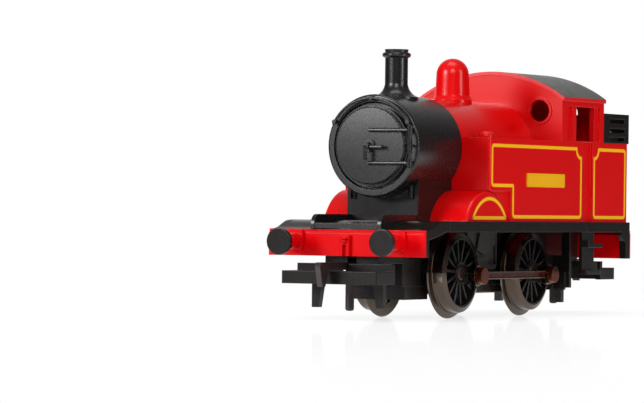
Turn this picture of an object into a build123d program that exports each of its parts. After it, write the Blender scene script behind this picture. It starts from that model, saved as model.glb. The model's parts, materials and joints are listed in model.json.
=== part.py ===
from build123d import *
from math import cos, pi, radians, sin, sqrt
import os

os.makedirs("parts", exist_ok=True)

# Model tank locomotive, 00 gauge. Millimetres, +X is the chimney end, +Y the left side, +Z up.
# The ground plane touches the wheel flanges, and X = 0 is midway between the buffer beams.

# Overall frame
BEAM_X = 48.65
BEAM_HALF = 17.6
BEAM_TOP = 18.05
BEAM_LOW = {1: 12.75, -1: 12.0}
BEAM_SKIN = 0.45
DECK_TOP = 19.88
DECK_LOW = 18.88
VALANCE_LOW = 17.75
VALANCE_T = 1.0
END_POST = 1.55
BODY_HALF = 16.78
BODY_REAR = -48.6
WALL = 1.2

# Wheels, axles and rods
AXLE_Z = 9.41
FRONT_AXLE = 18.9
REAR_AXLE = -14.5
AXLES = {"front": FRONT_AXLE, "rear": REAR_AXLE}
SIDES = {"left": 1, "right": -1}
FLANGE_R = 9.41
TREAD_R = 8.15
RIM_R = 6.75
RIM_RISE = 0.4
WHEEL_BACK = 7.25
FLANGE_T = 0.8
WHEEL_FACE = 10.4
HUB_R = 2.3
SPOKES = 14
AXLE_R = 1.5
RUNNING = 0.05
CRANK = 4.05
CRANK_DROP = 9.0
CRANK_ANGLE = {"left": 180.0 + CRANK_DROP, "right": 90.0 + CRANK_DROP}
ROD_IN = 11.45
ROD_T = 1.1
ROD_HEIGHT = 1.5
ROD_EYE = 2.1
ROD_FLUTE = 0.15
PIN_R = 0.8
PIN_HEAD_R = 1.72
PIN_END = 14.0

# Boiler, smokebox and fittings
BOILER_Z = 34.85
SMOKEBOX_R = 10.34
BOILER_R = 10.1
SMOKEBOX_FRONT = 37.97
SMOKEBOX_REAR = 18.85
SADDLE_FRONT = 33.5
SADDLE_HALF = 8.05
DOOR_R = 8.25
DOOR_FACE_R = 7.85
HINGE_X = SMOKEBOX_FRONT + 1.75
HINGE_Y = 9.2
CHIMNEY_X = 28.2
CHIMNEY_R = 2.33
CHIMNEY_TOP = 54.55
DOME_X = 3.1
DOME_R = 3.4
DOME_TOP = 53.7

# Tanks, cab and bunker
TANK_FRONT = 18.85
TANK_TOP = 36.95
TANK_FLOOR = 26.1
STEP_X = 9.5
CAB_FRONT = -15.06
CAB_REAR = -35.95
ROOF_HALF = 17.21
ROOF_EDGE_Z = 46.2
ROOF_CROWN_Z = 51.65
ROOF_T = 0.8
ROOF_R = (ROOF_HALF**2 + (ROOF_CROWN_Z - ROOF_EDGE_Z) ** 2) / (2 * (ROOF_CROWN_Z - ROOF_EDGE_Z))
ROOF_C = ROOF_CROWN_Z - ROOF_R
WINDOW_Y = 11.5
WINDOW_Z = 43.27
WINDOW_R = 2.3
REAR_WINDOW_Y = 8.95
REAR_WINDOW_R = 2.0
SPLASHER_R = 10.45
SPLASHER_Z = 15.7
SPLASHER_OUT = 16.55

# Chassis and drive
CHASSIS_HALF = 6.0
CHASSIS_LOW = 6.6
KEEPER_LOW = 5.2
CHASSIS_FRONT = 36.0
BUSH_R = 2.4
GEAR_TEETH = 16
GEAR_MODULE = 0.4
GEAR_PITCH_R = GEAR_TEETH * GEAR_MODULE / 2
WORM_PITCH_R = 2.0
WORM_PITCH = pi * GEAR_MODULE
WORM_Z = AXLE_Z + GEAR_PITCH_R + WORM_PITCH_R
SHAFT_R = 0.75
MOTOR_FRONT = -22.5
MOTOR_REAR = -35.0
MOTOR_R = 5.0
MOTOR_FLAT = 4.0

# Couplings and buffers
BUFFER_Y = 11.5
BUFFER_Z = 15.57
BUFFER_FACE = 55.65
HEAD_R = 2.73
HEAD_T = 1.1
BAR_FACE = 55.65
BAR_HALF = 10.7
BAR_LOW = 7.3
BAR_TOP = 9.85
PIVOT_X = 45.3
PIVOT_Z = 10.8
HOOK_NOSE = 60.3


# Outlines used more than once
TYRE_OUTLINE = (
    (RIM_R + 0.35, WHEEL_BACK),
    (FLANGE_R - 0.25, WHEEL_BACK),
    (FLANGE_R, WHEEL_BACK + 0.25),
    (FLANGE_R - 0.12, WHEEL_BACK + 0.55),
    (TREAD_R + 0.12, WHEEL_BACK + FLANGE_T),
    (TREAD_R + 0.05, WHEEL_BACK + FLANGE_T + 0.25),
    (TREAD_R - 0.03, WHEEL_FACE - 0.12),
    (TREAD_R - 0.12, WHEEL_FACE),
    (RIM_R + 0.35, WHEEL_FACE + RIM_RISE),
)
INNER_HALF = BODY_HALF - WALL
DECK_END = BEAM_X - BEAM_SKIN
DROP_START = 38.8
DROP_LOW_START = 38.5
DROP_TOP = ((DROP_START, DECK_TOP), (43.2, 19.17), (45.0, 18.45), (DECK_END, BEAM_TOP))
DROP_UNDER = ((DECK_END, BEAM_TOP - 0.8), (44.4, 17.6), (42.6, 18.3), (DROP_LOW_START, DECK_LOW))
FRONT_POST = 47.0
REAR_POST = -46.4
VALANCE_DROP = ((39.2, VALANCE_LOW), (42.3, 17.1), (45.3, 16.42), (FRONT_POST, 16.2))
DROP_TANGENTS = ((1, 0), (1, 0))
RISE_TANGENTS = ((-1, 0), (-1, 0))
WELL_HALF = 11.6
CAB_EAVE = ROOF_C - ROOF_T + sqrt(ROOF_R**2 - BODY_HALF**2)
RAIL_TOP = 43.3
SLOT_LOWS = (37.4, 39.25, 41.3)
SLOT_T = 0.85
PLATE_OUT = 7.9
PLATE_TOP = 21.05
PLATE_NOSE = 49.0
PLATE_T = 0.8

# Door furniture
BOILER_AXIS = Axis((0, 0, BOILER_Z), (1, 0, 0))
SEAT = -0.6
HINGE_ZS = (37.98, 31.4)
RAIL_X = SMOKEBOX_FRONT + 1.0
RAIL_R = 9.55

# Small parts of the chassis, drive and couplings
STEP_OUT = 19.5
GUARD_REAR = -34.6
KEEPER_SCREWS = (-27.0, 30.0)
POCKET = ((8.6, 18.5), (-4.2, 18.5), (-4.2, 10.9), (8.6, 10.9))
POCKET_WEBS = (
    ((12.0, 19.0), (7.2, 19.0), (5.6, 15.6), (8.4, 13.4), (12.0, 15.6)),
    ((2.6, 19.0), (-4.0, 19.0), (-4.0, 15.0), (1.4, 12.9), (4.6, 13.9)),
    ((7.2, 12.4), (-0.8, 12.4), (-0.8, 9.5), (7.2, 9.5)),
)
COUPLING_TOP = 11.3
COUPLING_SCREW_X = 40.4
DROPPER_X = 46.9
WORM_HALF = 2 * WORM_PITCH
WORM_ROOT_R = 1.5
THREAD_H = 0.85
GEAR_HALF = 1.3
GEAR_ROOT_R = 2.75
GEAR_START = 90
TOOTH = ((GEAR_ROOT_R - 0.15, -0.32), (3.55, -0.13), (3.55, 0.13), (GEAR_ROOT_R - 0.15, 0.32))
SPOKE_MID = 9.4
SPOKE_T = 1.5
SPOKE_START = 6.0
BOSS_R = 1.85


def block(x, y, z, mode=Mode.ADD):
    """A block from its (low, high) pair along each axis."""
    with Locations(((x[0] + x[1]) / 2, (y[0] + y[1]) / 2, (z[0] + z[1]) / 2)):
        Box(x[1] - x[0], y[1] - y[0], z[1] - z[0], mode=mode)


def side_plane(x, z):
    """The upright plane through the middle, seen from the right side, with its origin moved."""
    return Plane(origin=(x, 0, z), x_dir=(1, 0, 0), z_dir=(0, -1, 0))


def rod_along(axis, start, end, radius, mode=Mode.ADD):
    """A round bar between two points that lie on a line along X, Y or Z."""
    turn = {"x": (0, 90, 0), "y": (90, 0, 0), "z": (0, 0, 0)}[axis]
    middle = [(a + b) / 2 for a, b in zip(start, end)]
    length = sum(abs(b - a) for a, b in zip(start, end))
    with Locations(Location(tuple(middle), turn)):
        Cylinder(radius, length, mode=mode)


# ---------------------------------------------------------------- footplate and beams

with BuildPart() as footplate:
    # The deck, bent down at the front to meet the beam.
    with BuildSketch(Plane.XZ.offset(-BEAM_HALF)):
        with BuildLine():
            Polyline((DROP_LOW_START, DECK_LOW), (-DECK_END, DECK_LOW), (-DECK_END, DECK_TOP))
            Line((-DECK_END, DECK_TOP), (DROP_START, DECK_TOP))
            Spline(*DROP_TOP, tangents=DROP_TANGENTS)
            Line(DROP_TOP[-1], DROP_UNDER[0])
            Spline(*DROP_UNDER, tangents=RISE_TANGENTS)
        make_face()
    extrude(amount=2 * BEAM_HALF)
    # Side valances, each with a turned-down end behind both buffer beams.
    with BuildSketch(Plane.XZ.offset(-BEAM_HALF)):
        with BuildLine():
            Polyline((DROP_START, DECK_TOP), (-DECK_END, DECK_TOP), (-DECK_END, BEAM_LOW[-1]))
            Polyline((-DECK_END, BEAM_LOW[-1]), (REAR_POST, BEAM_LOW[-1]), (REAR_POST, 15.6))
            RadiusArc((REAR_POST, 15.6), (REAR_POST + 2.15, VALANCE_LOW), -2.15)
            Line((REAR_POST + 2.15, VALANCE_LOW), VALANCE_DROP[0])
            Spline(*VALANCE_DROP, tangents=DROP_TANGENTS)
            Polyline(VALANCE_DROP[-1], (FRONT_POST, BEAM_LOW[1]), (DECK_END, BEAM_LOW[1]), DROP_TOP[-1])
            Spline(*DROP_TOP[::-1], tangents=RISE_TANGENTS)
        make_face()
    extrude(amount=VALANCE_T)
    # The turned-down ends are thicker than the valance between them.
    block((-DECK_END, REAR_POST), (BEAM_HALF - END_POST, BEAM_HALF), (BEAM_LOW[-1], DECK_TOP))
    block((FRONT_POST, DECK_END), (BEAM_HALF - END_POST, BEAM_HALF), (BEAM_LOW[1], BEAM_TOP))
    mirror(about=Plane.XZ)
    # Well for the wheels and the chassis between them.
    block((-26.0, 26.0), (-WELL_HALF, WELL_HALF), (DECK_LOW - 1, DECK_TOP + 1), Mode.SUBTRACT)
    block((-40.0, -26.1), (-4.6, 4.6), (DECK_LOW - 1, DECK_TOP + 1), Mode.SUBTRACT)
footplate.part.label = "footplate"
export_step(footplate.part, "parts/footplate.step")

for end, sign in (("front", 1), ("rear", -1)):
    low = BEAM_LOW[sign]
    face = sign * BEAM_X
    inner = sign * (BEAM_X - BEAM_SKIN)
    back = sign * (BEAM_X - 1.3)
    with BuildPart() as beam:
        # Face plate with a rounded ledge below its thinner top strip.
        with BuildSketch(Plane.XZ.offset(-BEAM_HALF)):
            with BuildLine():
                ledge = BEAM_TOP - 0.62
                step = face - sign * 0.2
                Polyline((step, ledge), (step, BEAM_TOP), (inner, BEAM_TOP), (inner, low), (face, low))
                Line((face, low), (face, ledge - 0.2))
                RadiusArc((face, ledge - 0.2), (step, ledge), -sign * 0.2)
            make_face()
        extrude(amount=2 * BEAM_HALF)
        post = BEAM_HALF - END_POST
        block(sorted((back, inner)), (-post, post), (low, BEAM_TOP - 0.85))
        # Room for the coupling hook to lift.
        block(sorted((sign * 46, sign * 50)), (-1.3, 1.3), (low - 1, 12.75), Mode.SUBTRACT)
    beam.part.label = f"{end}_buffer_beam"
    export_step(beam.part, f"parts/{end}_buffer_beam.step")

with BuildPart() as buffer_shanks:
    # Rounded base plate and stepped round shank, at both sides of the front beam.
    with BuildSketch(Plane.YZ.offset(BEAM_X)):
        with Locations((BUFFER_Y, BUFFER_Z + 0.25)):
            RectangleRounded(3.9, 4.3, 0.9)
    extrude(amount=0.6)
    rod_along("x", (BEAM_X + 0.6, BUFFER_Y, BUFFER_Z), (BEAM_X + 3.4, BUFFER_Y, BUFFER_Z), 1.7)
    rod_along("x", (BEAM_X + 3.4, BUFFER_Y, BUFFER_Z), (BUFFER_FACE - HEAD_T, BUFFER_Y, BUFFER_Z), 1.5)
    mirror(about=Plane.XZ)
    mirror(about=Plane.YZ)
buffer_shanks.part.label = "buffer_shanks"
export_step(buffer_shanks.part, "parts/buffer_shanks.step")

with BuildPart() as buffer_heads:
    rod_along("x", (BUFFER_FACE - HEAD_T, BUFFER_Y, BUFFER_Z), (BUFFER_FACE, BUFFER_Y, BUFFER_Z), HEAD_R)
    fillet(buffer_heads.edges().group_by(Axis.X)[-1], radius=0.2)
    fillet(buffer_heads.edges().group_by(Axis.X)[0], radius=0.4)
    mirror(about=Plane.XZ)
    mirror(about=Plane.YZ)
buffer_heads.part.label = "buffer_heads"
export_step(buffer_heads.part, "parts/buffer_heads.step")

with BuildPart() as drawhooks:
    # Moulded draw plate with a short hook nose and a slot below it.
    block((BEAM_X, BEAM_X + 0.85), (-1.1, 1.1), (12.8, 16.9))
    fillet(drawhooks.edges().filter_by(Axis.Z).group_by(Axis.X)[-1], radius=0.25)
    with Locations((BEAM_X + 0.85, 0, 16.0)):
        Sphere(0.8)
    block((BEAM_X - 1, BEAM_X), (-2, 2), (12, 18), Mode.SUBTRACT)
    block((BEAM_X + 0.75, BEAM_X + 2), (-1.0, 1.0), (15.95, 16.15), Mode.SUBTRACT)
    block((BEAM_X + 0.1, BEAM_X + 2), (-0.4, 0.4), (12, 15.0), Mode.SUBTRACT)
    mirror(about=Plane.YZ)
drawhooks.part.label = "drawhooks"
export_step(drawhooks.part, "parts/drawhooks.step")

# ---------------------------------------------------------------- tanks, cab and bunker

with BuildPart() as body_shell:
    block((BODY_REAR, TANK_FRONT), (-BODY_HALF, BODY_HALF), (DECK_TOP, TANK_TOP))
    fillet(body_shell.edges().filter_by(Axis.Z), radius=0.6)
    # The cab sheets rise above the tanks, under an arched roof.
    with BuildSketch(Plane.YZ.offset(CAB_REAR)):
        with BuildLine():
            arch = ((-BODY_HALF, CAB_EAVE), (0, ROOF_CROWN_Z - ROOF_T), (BODY_HALF, CAB_EAVE))
            ThreePointArc(*arch)
            Polyline(arch[2], (BODY_HALF, TANK_TOP - 1), (-BODY_HALF, TANK_TOP - 1), arch[0])
        make_face()
    extrude(amount=CAB_FRONT - CAB_REAR)
    # Hollow tanks and bunker, open below.
    inside = (-INNER_HALF, INNER_HALF)
    block((CAB_FRONT, TANK_FRONT - WALL), inside, (DECK_TOP - 1, TANK_TOP - WALL), Mode.SUBTRACT)
    block((BODY_REAR + WALL, CAB_REAR), inside, (DECK_TOP - 1, TANK_TOP + 1), Mode.SUBTRACT)
    # Hollow cab between the front and rear sheets, open above to the roof.
    with BuildSketch(Plane.YZ.offset(CAB_REAR + 0.9)):
        with BuildLine():
            arch = ((-INNER_HALF, CAB_EAVE - 0.5), (0, ROOF_CROWN_Z + 1), (INNER_HALF, CAB_EAVE - 0.5))
            ThreePointArc(*arch)
            Polyline(arch[2], (INNER_HALF, DECK_TOP - 1), (-INNER_HALF, DECK_TOP - 1), arch[0])
        make_face()
    extrude(amount=CAB_FRONT - CAB_REAR - 1.8, mode=Mode.SUBTRACT)
    # Side openings, and shallow recesses before and behind them.
    block((-31.0, -22.0), (-BODY_HALF - 1, BODY_HALF + 1), (37.1, 44.35), Mode.SUBTRACT)
    for side in (1, -1):
        recess = sorted((side * (BODY_HALF - 0.5), side * (BODY_HALF + 1)))
        block((-19.95, -17.5), recess, (37.2, 44.4), Mode.SUBTRACT)
        block((-33.9, -31.5), recess, (37.2, 44.4), Mode.SUBTRACT)
        block((-30.3, -25.6), recess, (DECK_TOP - 1, TANK_TOP - 0.1), Mode.SUBTRACT)
        # The tank front is cut away over the wheel.
        notch = sorted((side * (BODY_HALF - 0.45), side * (BODY_HALF + 1)))
        block((STEP_X, TANK_FRONT + 1), notch, (DECK_TOP - 1, TANK_FLOOR), Mode.SUBTRACT)
    # Round windows in both cab sheets.
    for x, window_y, radius in ((CAB_FRONT, WINDOW_Y, WINDOW_R), (CAB_REAR, REAR_WINDOW_Y, REAR_WINDOW_R)):
        for y in (-window_y, window_y):
            rod_along("x", (x - 2, y, WINDOW_Z), (x + 2, y, WINDOW_Z), radius, Mode.SUBTRACT)
    # Raised window rims on the front sheet.
    for y in (-WINDOW_Y, WINDOW_Y):
        rod_along("x", (CAB_FRONT, y, WINDOW_Z), (CAB_FRONT + 0.35, y, WINDOW_Z), WINDOW_R + 0.55)
        rod_along("x", (CAB_FRONT - 1, y, WINDOW_Z), (CAB_FRONT + 1, y, WINDOW_Z), WINDOW_R, Mode.SUBTRACT)
    # The boiler and the wheel splashers fit into the front of the tanks.
    rod_along("x", (CAB_FRONT, 0, BOILER_Z), (TANK_FRONT + 1, 0, BOILER_Z), BOILER_R, Mode.SUBTRACT)
    for side in (1, -1):
        start = (FRONT_AXLE, side * (SADDLE_HALF - 0.5), SPLASHER_Z)
        rod_along("y", start, (FRONT_AXLE, side * SPLASHER_OUT, SPLASHER_Z), SPLASHER_R, Mode.SUBTRACT)
body_shell.part.label = "body_shell"
export_step(body_shell.part, "parts/body_shell.step")

with BuildPart() as splashers:
    start = (FRONT_AXLE, SADDLE_HALF, SPLASHER_Z)
    rod_along("y", start, (FRONT_AXLE, SPLASHER_OUT, SPLASHER_Z), SPLASHER_R)
    fillet(splashers.edges().group_by(Axis.Y)[-1], radius=0.7)
    block((0, 40), (0, 20), (0, DECK_TOP), Mode.SUBTRACT)
    mirror(about=Plane.XZ)
splashers.part.label = "splashers"
export_step(splashers.part, "parts/splashers.step")

with BuildPart() as boiler:
    rod_along("x", (CAB_FRONT, 0, BOILER_Z), (SMOKEBOX_REAR, 0, BOILER_Z), BOILER_R)
    ends = (CAB_FRONT - 1, SMOKEBOX_REAR + 1)
    rod_along("x", (ends[0], 0, BOILER_Z), (ends[1], 0, BOILER_Z), BOILER_R - WALL, Mode.SUBTRACT)
boiler.part.label = "boiler"
export_step(boiler.part, "parts/boiler.step")

with BuildPart() as dome:
    # Tapered side, hemispherical crown and a small fillet on to the boiler.
    with BuildSketch(side_plane(DOME_X, 0)):
        with BuildLine():
            Polyline((0, 40), (4.1, 40), (4.1, 45.0), (3.62, 45.9), (DOME_R, 50.3))
            CenterArc((0, DOME_TOP - DOME_R), DOME_R, 0, 90)
            Line((0, DOME_TOP), (0, 40))
        make_face()
    revolve(axis=Axis((DOME_X, 0, 0), (0, 0, 1)))
    rod_along("x", (-20, 0, BOILER_Z), (20, 0, BOILER_Z), BOILER_R, Mode.SUBTRACT)
dome.part.label = "dome"
export_step(dome.part, "parts/dome.step")

with BuildPart() as tank_fillers:
    with Locations((12.8, 12.9, TANK_TOP + 0.65), (12.8, -12.9, TANK_TOP + 0.65)):
        Cylinder(1.65, 1.3)
    fillet(tank_fillers.edges().group_by(Axis.Z)[-1], radius=0.9)
tank_fillers.part.label = "tank_fillers"
export_step(tank_fillers.part, "parts/tank_fillers.step")

with BuildPart() as cab_roof:
    with BuildSketch(Plane.YZ.offset(CAB_REAR - 0.1)):
        with BuildLine():
            under = ROOF_EDGE_Z - ROOF_T
            ThreePointArc((-ROOF_HALF, ROOF_EDGE_Z), (0, ROOF_CROWN_Z), (ROOF_HALF, ROOF_EDGE_Z))
            Line((ROOF_HALF, ROOF_EDGE_Z), (ROOF_HALF, under))
            ThreePointArc((ROOF_HALF, under), (0, ROOF_CROWN_Z - ROOF_T), (-ROOF_HALF, under))
            Line((-ROOF_HALF, under), (-ROOF_HALF, ROOF_EDGE_Z))
        make_face()
    extrude(amount=CAB_FRONT - CAB_REAR + 0.2)
cab_roof.part.label = "cab_roof"
export_step(cab_roof.part, "parts/cab_roof.step")

with BuildPart() as cab_floor:
    block((CAB_REAR + 0.9, CAB_FRONT - 0.9), (-INNER_HALF, INNER_HALF), (27.0, 28.0))
    # Bunker door frame and seat box against the rear sheet.
    block((CAB_REAR + 0.9, CAB_REAR + 4.4), (6.0, INNER_HALF), (28.0, 33.0))
    block((CAB_REAR + 0.9, CAB_REAR + 4.4), (-INNER_HALF, -6.0), (28.0, 33.0))
cab_floor.part.label = "cab_floor"
export_step(cab_floor.part, "parts/cab_floor.step")

with BuildPart() as backhead:
    # Firebox back plate with fire door, regulator and water gauges.
    with BuildSketch(Plane.YZ.offset(CAB_FRONT - 2.6)):
        with Locations((0, 35.0)):
            RectangleRounded(15.0, 14.0, 5.0)
    extrude(amount=1.7)
    rod_along("x", (CAB_FRONT - 3.1, 0, 32.0), (CAB_FRONT - 2.6, 0, 32.0), 2.0)
    rod_along("x", (CAB_FRONT - 3.6, 0, 38.4), (CAB_FRONT - 2.6, 0, 38.4), 0.8)
    block((CAB_FRONT - 3.9, CAB_FRONT - 3.4), (-2.6, 2.6), (38.1, 38.7))
    for y in (-4.6, 4.6):
        rod_along("z", (CAB_FRONT - 3.0, y, 34.5), (CAB_FRONT - 3.0, y, 38.0), 0.45)
backhead.part.label = "backhead"
export_step(backhead.part, "parts/backhead.step")

with BuildPart() as coal_rails:
    # Two slotted sides and a slotted back around the coal space.
    rail_half = BODY_HALF + 0.12
    rail_rear = BODY_REAR - 0.35
    block((rail_rear, CAB_REAR), (-rail_half, rail_half), (TANK_TOP, RAIL_TOP))
    within = rail_half - 0.8
    for z in SLOT_LOWS:
        block((-46.5, -38.6), (-rail_half - 0.15, rail_half + 0.15), (z + SLOT_T, z + SLOT_T + 0.3))
        block((-46.4, -38.7), (-20, 20), (z, z + SLOT_T), Mode.SUBTRACT)
        block((rail_rear - 1, rail_rear + 0.85), (-11.5, 11.5), (z, z + SLOT_T), Mode.SUBTRACT)
    block((rail_rear + 0.8, CAB_REAR + 1), (-within, within), (TANK_TOP - 1, RAIL_TOP + 1), Mode.SUBTRACT)
    # Corner post of the rear wall.
    fillet(coal_rails.edges().filter_by(Axis.Z).group_by(Axis.X)[0], radius=0.35)
coal_rails.part.label = "coal_rails"
export_step(coal_rails.part, "parts/coal_rails.step")

with BuildPart() as coal_load:
    block((BODY_REAR + WALL, CAB_REAR), (-INNER_HALF, INNER_HALF), (34.5, 38.2))
    for k in range(24):
        x = -46.0 + 2.2 * (k % 4) + 0.5 * sin(5 * k)
        y = -13.0 + 5.2 * (k // 4) + 0.7 * sin(3 * k)
        with Locations(Location((x, y, 38.1 + 0.25 * sin(7 * k)), (31 * k, 17 * k, 47 * k))):
            Box(2.0, 2.3, 1.7)
    block((BODY_REAR + WALL, CAB_REAR), (-INNER_HALF, INNER_HALF), (34.5, 42), Mode.INTERSECT)
coal_load.part.label = "coal_load"
export_step(coal_load.part, "parts/coal_load.step")

with BuildPart() as nameplates:
    for y in (BODY_HALF, -BODY_HALF - 0.3):
        block((-16.0, 1.9), (y, y + 0.3), (27.1, 29.95))
    fillet(nameplates.edges().filter_by(Axis.Y), radius=0.35)
nameplates.part.label = "nameplates"
export_step(nameplates.part, "parts/nameplates.step")

# ---------------------------------------------------------------- smokebox and front fittings

with BuildPart() as smokebox:
    # Barrel with a rolled front ring around a sunk door seat, hollow behind.
    with BuildSketch(side_plane(SMOKEBOX_FRONT, BOILER_Z)):
        with BuildLine():
            rear = SMOKEBOX_REAR - SMOKEBOX_FRONT
            bore = SMOKEBOX_R - WALL
            Polyline((rear, bore), (rear, SMOKEBOX_R), (-0.5, SMOKEBOX_R))
            RadiusArc((-0.5, SMOKEBOX_R), (0, SMOKEBOX_R - 0.5), 0.5)
            Polyline((0, SMOKEBOX_R - 0.5), (0, DOOR_R + 0.6), (SEAT, DOOR_R + 0.35), (SEAT, 0))
            Polyline((SEAT, 0), (SEAT - WALL, 0), (SEAT - WALL, bore), (rear, bore))
        make_face()
    revolve(axis=BOILER_AXIS)
    rod_along("z", (CHIMNEY_X, 0, BOILER_Z + 5), (CHIMNEY_X, 0, BOILER_Z + 12), 1.6, Mode.SUBTRACT)
smokebox.part.label = "smokebox"
export_step(smokebox.part, "parts/smokebox.step")

with BuildPart() as saddle:
    # Block between the deck and the smokebox, with a steam pipe at each front corner.
    block((TANK_FRONT, SADDLE_FRONT), (-SADDLE_HALF, SADDLE_HALF), (DECK_TOP, BOILER_Z))
    for y in (-6.3, 6.3):
        rod_along("z", (SADDLE_FRONT, y, 24.2), (SADDLE_FRONT, y, 30.5), 0.45)
    for y in (-7.05, 7.05):
        block((SADDLE_FRONT - 0.4, SADDLE_FRONT + 1), (y - 0.22, y + 0.22), (24.2, 31.0), Mode.SUBTRACT)
    rod_along("x", (0, 0, BOILER_Z), (45, 0, BOILER_Z), SMOKEBOX_R, Mode.SUBTRACT)
saddle.part.label = "saddle"
export_step(saddle.part, "parts/saddle.step")

with BuildPart() as frame_plates:
    # Main frame extensions ahead of the saddle, rounded at the front and joined by a sill.
    with BuildSketch(Plane.XZ.offset(-PLATE_OUT)):
        with BuildLine():
            Polyline((DROP_START, DECK_TOP), (SADDLE_FRONT, DECK_TOP), (SADDLE_FRONT, PLATE_TOP))
            Line((SADDLE_FRONT, PLATE_TOP), (PLATE_NOSE - 2, PLATE_TOP))
            RadiusArc((PLATE_NOSE - 2, PLATE_TOP), (PLATE_NOSE, PLATE_TOP - 2), 2.0)
            Polyline((PLATE_NOSE, PLATE_TOP - 2), (PLATE_NOSE, BEAM_TOP), DROP_TOP[-1])
            Spline(*DROP_TOP[::-1], tangents=RISE_TANGENTS)
        make_face()
    extrude(amount=PLATE_T)
    mirror(about=Plane.XZ)
    sill_half = PLATE_OUT - PLATE_T / 2
    block((PLATE_NOSE - 2.1, PLATE_NOSE - 0.1), (-sill_half, sill_half), (BEAM_TOP + 0.15, 19.3))
    add(footplate.part, mode=Mode.SUBTRACT)
frame_plates.part.label = "frame_plates"
export_step(frame_plates.part, "parts/frame_plates.step")

with BuildPart() as smokebox_door:
    # Thick door on its seat, nearly flat, with a rim step and a rounded edge.
    with BuildSketch(side_plane(SMOKEBOX_FRONT, BOILER_Z)):
        with BuildLine():
            Polyline((SEAT, 0), (SEAT, DOOR_R), (0.5, DOOR_R), (0.5, DOOR_FACE_R), (1.05, DOOR_FACE_R))
            RadiusArc((1.05, DOOR_FACE_R), (1.3, DOOR_FACE_R - 0.25), -0.25)
            Spline((1.3, DOOR_FACE_R - 0.25), (1.42, DOOR_FACE_R / 2), (1.45, 0), tangents=((0.04, -1), (0, -1)))
            Line((1.45, 0), (SEAT, 0))
        make_face()
    revolve(axis=BOILER_AXIS)
smokebox_door.part.label = "smokebox_door"
export_step(smokebox_door.part, "parts/smokebox_door.step")

with BuildPart() as door_hinges:
    # Two strap hinges on one post at the left edge of the door.
    for z in HINGE_ZS:
        block((SMOKEBOX_FRONT, HINGE_X), (0.0, HINGE_Y), (z - 0.42, z + 0.42))
        rod_along("y", (HINGE_X, 0.0, z), (HINGE_X, HINGE_Y, z), 0.42)
        rod_along("z", (HINGE_X, HINGE_Y, z - 0.9), (HINGE_X, HINGE_Y, z + 0.9), 0.58)
    rod_along("z", (HINGE_X, HINGE_Y, 30.4), (HINGE_X, HINGE_Y, 38.9), 0.3)
    rod_along("x", (SMOKEBOX_FRONT, HINGE_Y, BOILER_Z), (HINGE_X, HINGE_Y, BOILER_Z), 0.3)
    add(smokebox_door.part, mode=Mode.SUBTRACT)
    add(smokebox.part, mode=Mode.SUBTRACT)
door_hinges.part.label = "door_hinges"
export_step(door_hinges.part, "parts/door_hinges.step")

with BuildPart() as door_dart:
    # Round base, locking boss and two crossed handles.
    rod_along("x", (SMOKEBOX_FRONT, 0, BOILER_Z), (SMOKEBOX_FRONT + 1.85, 0, BOILER_Z), 1.3)
    rod_along("x", (SMOKEBOX_FRONT + 1.85, 0, BOILER_Z), (SMOKEBOX_FRONT + 3.3, 0, BOILER_Z), 0.7)
    handle_z = BOILER_Z - 0.25
    rod_along("y", (SMOKEBOX_FRONT + 2.55, 0, handle_z), (SMOKEBOX_FRONT + 2.55, 3.5, handle_z), 0.38)
    rod_along("z", (SMOKEBOX_FRONT + 3.2, 0, BOILER_Z - 2.9), (SMOKEBOX_FRONT + 3.2, 0, BOILER_Z), 0.38)
    add(smokebox_door.part, mode=Mode.SUBTRACT)
door_dart.part.label = "door_dart"
export_step(door_dart.part, "parts/door_dart.step")

with BuildPart() as door_handrail:
    # Curved wire over the door on three pillars.
    with BuildLine(Plane.YZ.offset(RAIL_X)) as rail_path:
        CenterArc((0, BOILER_Z), RAIL_R, 26, 128)
    with BuildSketch(Plane(origin=rail_path.line @ 0, z_dir=rail_path.line % 0)):
        Circle(0.26)
    sweep(path=rail_path.line)
    for angle in (30, 90, 150):
        y = RAIL_R * cos(radians(angle))
        z = BOILER_Z + RAIL_R * sin(radians(angle))
        rod_along("x", (SMOKEBOX_FRONT, y, z), (RAIL_X + 0.3, y, z), 0.45)
door_handrail.part.label = "door_handrail"
export_step(door_handrail.part, "parts/door_handrail.step")

with BuildPart() as chimney:
    # Stove-pipe tube, flared foot, ring and lip, bored through.
    with BuildSketch(side_plane(CHIMNEY_X, 0)):
        with BuildLine():
            Polyline((0, 41), (4.5, 41), (4.5, 44.9))
            RadiusArc((4.5, 44.9), (CHIMNEY_R, 47.6), 3.2)
            Polyline((CHIMNEY_R, 47.6), (CHIMNEY_R, 52.8), (2.65, 52.95))
            ThreePointArc((2.65, 52.95), (2.92, 53.4), (2.65, 53.85))
            Polyline((2.65, 53.85), (CHIMNEY_R, 53.95), (CHIMNEY_R + 0.1, CHIMNEY_TOP))
            Polyline((CHIMNEY_R + 0.1, CHIMNEY_TOP), (0, CHIMNEY_TOP), (0, 41))
        make_face()
    revolve(axis=Axis((CHIMNEY_X, 0, 0), (0, 0, 1)))
    rod_along("x", (10, 0, BOILER_Z), (45, 0, BOILER_Z), SMOKEBOX_R, Mode.SUBTRACT)
    rod_along("z", (CHIMNEY_X, 0, 40), (CHIMNEY_X, 0, 60), 1.6, Mode.SUBTRACT)
chimney.part.label = "chimney"
export_step(chimney.part, "parts/chimney.step")

# ---------------------------------------------------------------- below the footplate

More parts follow.
